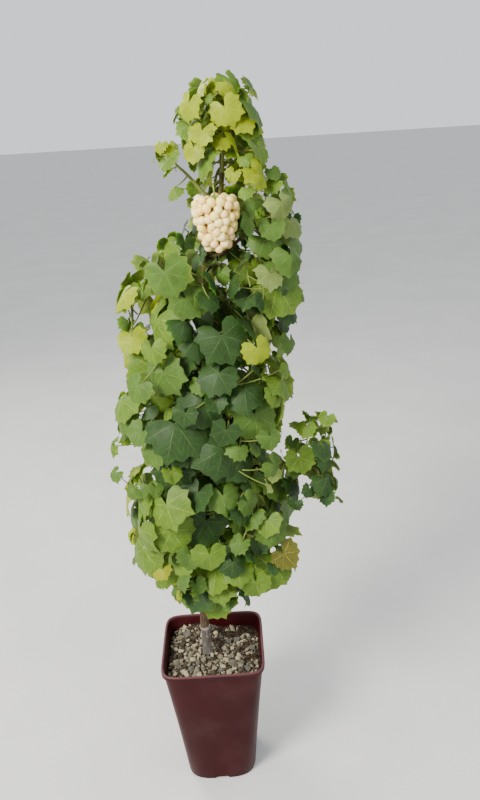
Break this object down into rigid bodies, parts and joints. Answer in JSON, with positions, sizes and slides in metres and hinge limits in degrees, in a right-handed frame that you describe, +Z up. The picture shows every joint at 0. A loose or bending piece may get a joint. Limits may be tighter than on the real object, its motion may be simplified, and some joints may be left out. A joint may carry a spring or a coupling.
{
  "type": "potted grapevine",
  "caption": "Young grapevine in a square tapered nursery pot: slender woody trunk, leafy boughs up its whole height and a pale bunch near the head.",
  "frame": {"origin": "middle of the pot's flat underside", "axes": "+Z up, -Y the side that carries the bunch, +X to the right of that side"},
  "size_m": [0.3938, 0.2686, 1.3212],
  "materials": {
    "pot": "dull maroon moulded plastic",
    "soil": "pale pumice grit over dark compost",
    "bark": "fibrous grey-brown vine bark",
    "leaf": "soft mid-green leaf",
    "young_leaf": "soft yellow-green young leaf",
    "grape": "waxy pale cream berry skin"
  },
  "bodies": {
    "root": {"pot": "pot", "soil": "soil", "trunk": "bark", "grape_bunch": "grape", "bough_skirt_front": "bark", "foliage_skirt_front": "leaf", "bough_skirt_back": "bark", "foliage_skirt_back": "leaf", "bough_lower_front": "bark", "foliage_lower_front": "leaf", "bough_lower_back": "bark", "foliage_lower_back": "leaf", "bough_middle_front": "bark", "foliage_middle_front": "leaf", "bough_middle_back": "bark", "foliage_middle_back": "leaf", "bough_upper_front": "bark", "foliage_upper_front": "leaf", "bough_upper_back": "bark", "foliage_upper_back": "leaf", "bough_shoulder_front": "bark", "foliage_shoulder_front": "leaf", "bough_shoulder_back": "bark", "foliage_shoulder_back": "leaf", "bough_side_shoot": "bark", "foliage_side_shoot": "leaf", "bough_left_spray": "bark", "foliage_left_spray": "young_leaf", "bough_head_front": "bark", "foliage_head_front": "young_leaf", "foliage_head_back": "young_leaf"}
  },
  "joints": []
}
